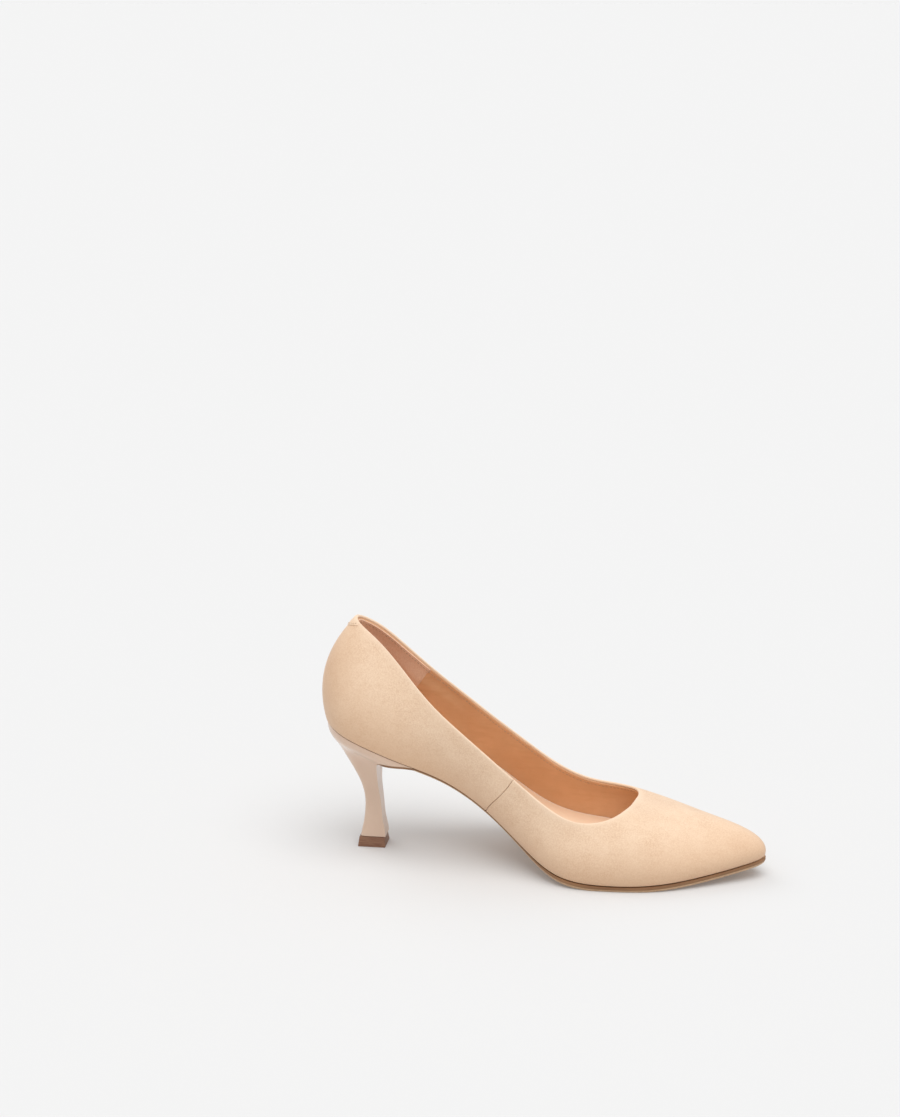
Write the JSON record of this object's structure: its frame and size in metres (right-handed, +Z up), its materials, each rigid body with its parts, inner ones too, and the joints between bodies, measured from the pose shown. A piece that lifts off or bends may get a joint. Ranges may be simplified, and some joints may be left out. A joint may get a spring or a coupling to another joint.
{
  "type": "high heel pump",
  "caption": "Pointed court shoe with a low-cut suede upper, a lined and padded foot bed, a thin sole and a waisted spool heel with a flared top piece.",
  "frame": {"origin": "on the floor, at the centre of the shoe's length and width", "axes": "+Z up, +Y from the toe to the heel along the shoe's length, +X towards the outer side of this left shoe"},
  "size_m": [0.0846, 0.2386, 0.1303],
  "materials": {
    "suede": "fine nude suede with a short nap",
    "lining_leather": "smooth tan lining leather, satin",
    "grip_suede": "pinkish brown suede",
    "sock_leather": "smooth pale nude leather, glossy",
    "foam": "soft latex foam",
    "fibre_board": "brown fibre board",
    "felt": "grey felt",
    "stiffener": "thermoplastic stiffener sheet",
    "sole": "amber brown sole, polished edge",
    "lacquer": "glossy nude lacquer",
    "top_lift": "brown wear-resistant polyurethane",
    "steel": "bright steel"
  },
  "bodies": {
    "root": {"vamp_outside_quarter": "suede", "inside_quarter": "suede", "back_tab": "suede", "lining": "lining_leather", "heel_grip": "grip_suede", "toe_puff": "stiffener", "heel_counter": "stiffener", "insole_board": "fibre_board", "shank_board": "fibre_board", "heel_pad": "foam", "forefoot_pad": "foam", "sock": "sock_leather", "shank": "steel", "shank_rivet_1": "steel", "shank_rivet_2": "steel", "bottom_filler": "felt", "outsole": "sole", "heel": "lacquer", "heel_tube": "steel", "heel_screw": "steel", "top_piece": "top_lift", "top_piece_pin": "steel", "heel_nail_1": "steel", "heel_nail_2": "steel", "heel_nail_3": "steel", "heel_nail_4": "steel", "heel_nail_5": "steel"}
  },
  "joints": []
}
